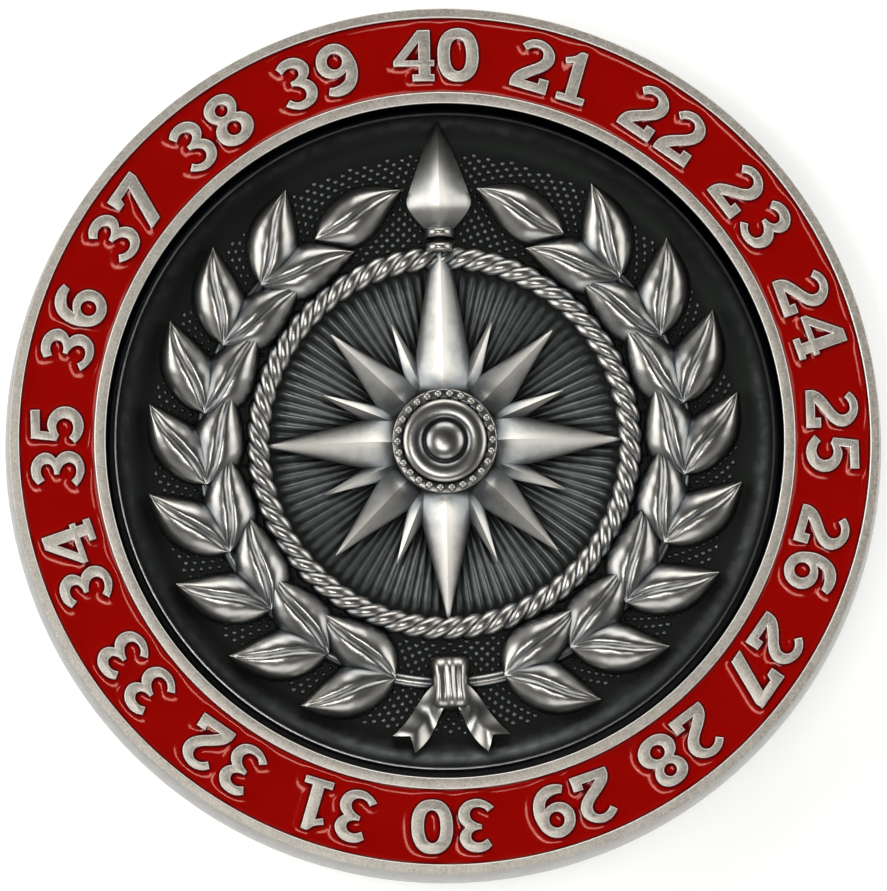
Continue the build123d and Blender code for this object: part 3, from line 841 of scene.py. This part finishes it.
def knotMesh():
    # the knot: a soft pillow with creases drawn across it
    along, across = grid(25, 21, -1)
    pinch = (1 - 0.07 * np.cos(math.pi * along)) * (1 - 0.12 * along ** 4)
    swell = (1 - along ** 4) ** 0.6 * (1 - across ** 4) ** 0.5
    crease = ribbon["crease"] * np.cos(3 * math.pi * across + 0.6 * along) * (1 - across ** 2)
    return slabMesh("knot", ribbon["knotWidth"] / 2 * across * pinch,
                    ribbon["knotLength"] / 2 * along * (1 - 0.1 * across ** 4),
                    ribbon["knotEdge"] + (ribbon["knotTop"] - ribbon["knotEdge"] + crease) * swell, 45)


def ribbonMesh():
    tail, mirrored = tailMesh(), tailMesh()
    mirrored.transform(Matrix.Scale(-1, 4, (0, 1, 0)))
    mirrored.flip_normals()
    pieces = [turned(tail, ribbon["angle"] - 90), turned(mirrored, -ribbon["angle"] - 90), knotMesh()]
    for piece in pieces:
        piece.transform(Matrix.Translation((0, -ribbon["radius"] * mm, 0)))
    return joined("ribbon", pieces)


reliefMeshes = {"Dish": dishMesh(), "Ground": groundMesh(), "Star": starMesh(), "Pointer": pointerMesh(),
                "Rope": ropeMesh(), "Wreath": wreathMesh(), "Ribbon": ribbonMesh()}
print("relief made")


# Where the oxide stays: the relief is felt from above on a grid, and a point that lies below its blurred
# surroundings is a recess.
patina = dict(reach=20.0, cell=0.1, rest=6.4, blur=0.75, fineBlur=0.28, depth=0.85, fineDepth=0.3, low=0.45,
              lowTop=5.35, paintedSheen=0.21, paintedSheenAt=285)


def storeRecess(meshes):
    vertices, faces = [], []
    for mesh in meshes.values():
        first = len(vertices)
        vertices += [v.co.copy() for v in mesh.vertices]
        faces += [[first + v for v in face.vertices] for face in mesh.polygons]
    felt = BVHTree.FromPolygons(vertices, faces)
    count = int(2 * patina["reach"] / patina["cell"]) + 1
    line = np.linspace(-patina["reach"], patina["reach"], count)
    heights = np.full((count, count), patina["rest"])
    for i, x in enumerate(line):
        for j, y in enumerate(line):
            if x * x + y * y < dish["radius"] ** 2:
                spot = felt.ray_cast(Vector((x, y, 10)) * mm, Vector((0, 0, -1)))[0]
                if spot is not None:
                    heights[i, j] = spot.z / mm
    waves = np.fft.fftfreq(count, patina["cell"])
    spectrum = np.fft.fft2(heights)
    layers = []
    for width, depth in ((patina["blur"], patina["depth"]), (patina["fineBlur"], patina["fineDepth"])):
        soft = np.exp(-2 * (math.pi * width) ** 2 * (waves[:, None] ** 2 + waves[None] ** 2))
        layers.append((np.fft.ifft2(spectrum * soft).real, depth))

    for label, mesh in meshes.items():
        x, y, z = pointsOf(mesh).T
        u, v = (np.clip((spot + patina["reach"]) / patina["cell"], 0, count - 1.001) for spot in (x, y))
        i, j = u.astype(int), v.astype(int)
        a, b = u - i, v - j
        # the low ground holds its oxide everywhere
        recess = patina["low"] * np.clip((patina["lowTop"] - z) / 0.4, 0, 1)
        for layer, depth in layers:
            around = (layer[i, j] * (1 - a) * (1 - b) + layer[i + 1, j] * a * (1 - b)
                      + layer[i, j + 1] * (1 - a) * b + layer[i + 1, j + 1] * a * b)
            recess += 0.5 * (around - z) / depth
        if label == "Dish":  # so does the cove, less so towards its top, and only the lip is rubbed a little
            outwards = np.hypot(x, y)
            lip = (z > dish["lipTop"] - 0.03) & (outwards > dish["lip"] - 0.05)
            cove = np.clip((outwards - 10.5) / 0.8, 0, 0.85) - 0.28 * np.clip((outwards - 17.5) / 1.0, 0, 1)
            # painted sheen: the cove's outer part is lighter on one side, round the given azimuth
            aside = np.clip(np.cos(np.arctan2(y, x) - math.radians(patina["paintedSheenAt"])), 0, 1)
            paintedSheen = patina["paintedSheen"] * aside * np.clip((outwards - 16.2) / 1.2, 0, 1)
            recess = np.where(lip, -0.05, np.maximum(recess * (outwards < 17.5), cove - paintedSheen))
        storeValues(mesh, "recess", np.clip(recess, -1, 1.5))


storeRecess(reliefMeshes)
print("patina stored")


def finished(piece, body, slotName, material, *nodes):
    piece.data.materials.clear()
    piece.data.materials.append(material)
    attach(piece, body)
    if nodes:
        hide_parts(*nodes)


for piece in (numberRing, frontNumerals, backNumerals):
    finished(piece, "ring", "ring_metal", plate, "outer_ring")
finished(frontEnamel, "ring", "enamel", enamel, "front_enamel")
finished(backEnamel, "ring", "enamel", enamel, "back_enamel")
for label, mesh in reliefMeshes.items():
    backMesh = mesh.copy()
    backMesh.transform(overToBack)
    finished(newPiece("front" + label, mesh), "dial", "relief_metal", antique, "front_disc")
    finished(newPiece("back" + label, backMesh), "dial", "relief_metal", antique, "back_disc")

for node, material in {"front_glide_ring": acetal, "back_glide_ring": acetal, "bearing_bush": brass,
                       "drag_ring": rubber, "dowel_pins": steel}.items():
    for slot in frame["nodes"][node].material_slots:
        slot.material = material
print("pieces hung on their bodies")


# the stage: a pale floor, soft lights and the camera a little below and left of the counter's axis
stage = dict(floorHalf=3.0, floorColour="#e9e9e6", floorLift=0.4, lightDistance=0.8, cameraTilt=6.4,
             cameraSide=13.4, cameraTurn=-1.3, distance=0.55, aim=(-0.012, 0.019), pixelsPerMm=17.52,
             imageHeight=891, sensor=36.0)

floorMesh = bpy.data.meshes.new("floor")
half = stage["floorHalf"]
floorMesh.from_pydata([(-half, -half, 0), (half, -half, 0), (half, half, 0), (-half, half, 0)], [], [(0, 1, 2, 3)])
floor = newPiece("floor", floorMesh)
floorMaterial, add, place = newMaterial("paleBoard")  # matt pale board, lifted to white for what sees it directly
path = add("ShaderNodeLightPath").outputs
seen = path["Is Camera Ray"]
for ray in ("Is Glossy Ray", "Is Transmission Ray"):
    seen = add(maths, (seen, path[ray]), operation="MAXIMUM")
lift = add(maths, (seen, stage["floorLift"]), operation="MULTIPLY")
matt = add("ShaderNodeBsdfDiffuse", {"Color": stage["floorColour"]})
both = add("ShaderNodeAddShader", (matt, add("ShaderNodeEmission", {"Strength": lift})))
add("ShaderNodeOutputMaterial", (both,))
floorMesh.materials.append(floorMaterial)

world = bpy.data.worlds.new("studio")
scene.world = world
world.use_nodes = True
world.node_tree.nodes.clear()
add = partial(addNode, world.node_tree)
direction = add("ShaderNodeSeparateXYZ", (add("ShaderNodeTexCoord").outputs["Generated"],))
upwards = add(ranger, (direction.outputs[2], 0.3, 0.93, 0.5, 0.015), interpolation_type="SMOOTHSTEP")
seen = add("ShaderNodeLightPath").outputs["Is Camera Ray"]
level = add(mixer, {0: seen, 2: upwards, 3: 1.0}, data_type="FLOAT")
add("ShaderNodeOutputWorld", (add("ShaderNodeBackground", ("#ffffff", level)),))

# soft lights that face the counter: direction from +X, angle from straight up, size in metres, radiance
for name, azimuth, fromZenith, width, height, radiance in (
        ("keyLeft", 197, 16, 0.27, 0.13, 8.0), ("keyFront", 255, 16, 0.27, 0.13, 8.0),
        ("leftBox", 172, 62, 0.6, 0.45, 3.3), ("rightBox", 8, 62, 0.6, 0.45, 2.2),
        ("farBox", 88, 64, 0.7, 0.4, 2.7), ("nearBox", 272, 62, 0.6, 0.35, 1.6)):
    data = bpy.data.lights.new(name, "AREA")
    data.shape = "RECTANGLE"
    data.size, data.size_y = width, height
    data.energy = radiance * math.pi * width * height
    a, z = math.radians(azimuth), math.radians(fromZenith)
    towards = Vector((math.sin(z) * math.cos(a), math.sin(z) * math.sin(a), math.cos(z)))
    light = newPiece(name, data)
    light.location = towards * stage["lightDistance"]
    light.rotation_euler = towards.to_track_quat("Z", "Y").to_euler()

cameraData = bpy.data.cameras.new("camera")
scene.camera = newPiece("camera", cameraData)
tilt, side, swing = (math.radians(stage[key]) for key in ("cameraTilt", "cameraSide", "cameraTurn"))
backwards = Vector((-math.sin(tilt) * math.sin(side), -math.sin(tilt) * math.cos(side), math.cos(tilt)))
scene.camera.location = Vector((*stage["aim"], ring["middle"])) * mm + backwards * stage["distance"]
upright = Matrix.Rotation(-side, 4, "Z") @ Matrix.Rotation(tilt, 4, "X") @ Matrix.Rotation(side + swing, 4, "Z")
scene.camera.rotation_mode = "QUATERNION"
scene.camera.rotation_quaternion = upright.to_quaternion()
cameraData.sensor_width = stage["sensor"]
cameraData.lens = stage["sensor"] * stage["distance"] / (stage["imageHeight"] / stage["pixelsPerMm"] * mm)
cameraData.clip_start, cameraData.clip_end = 0.01, 50
print("stage, lights and camera set")
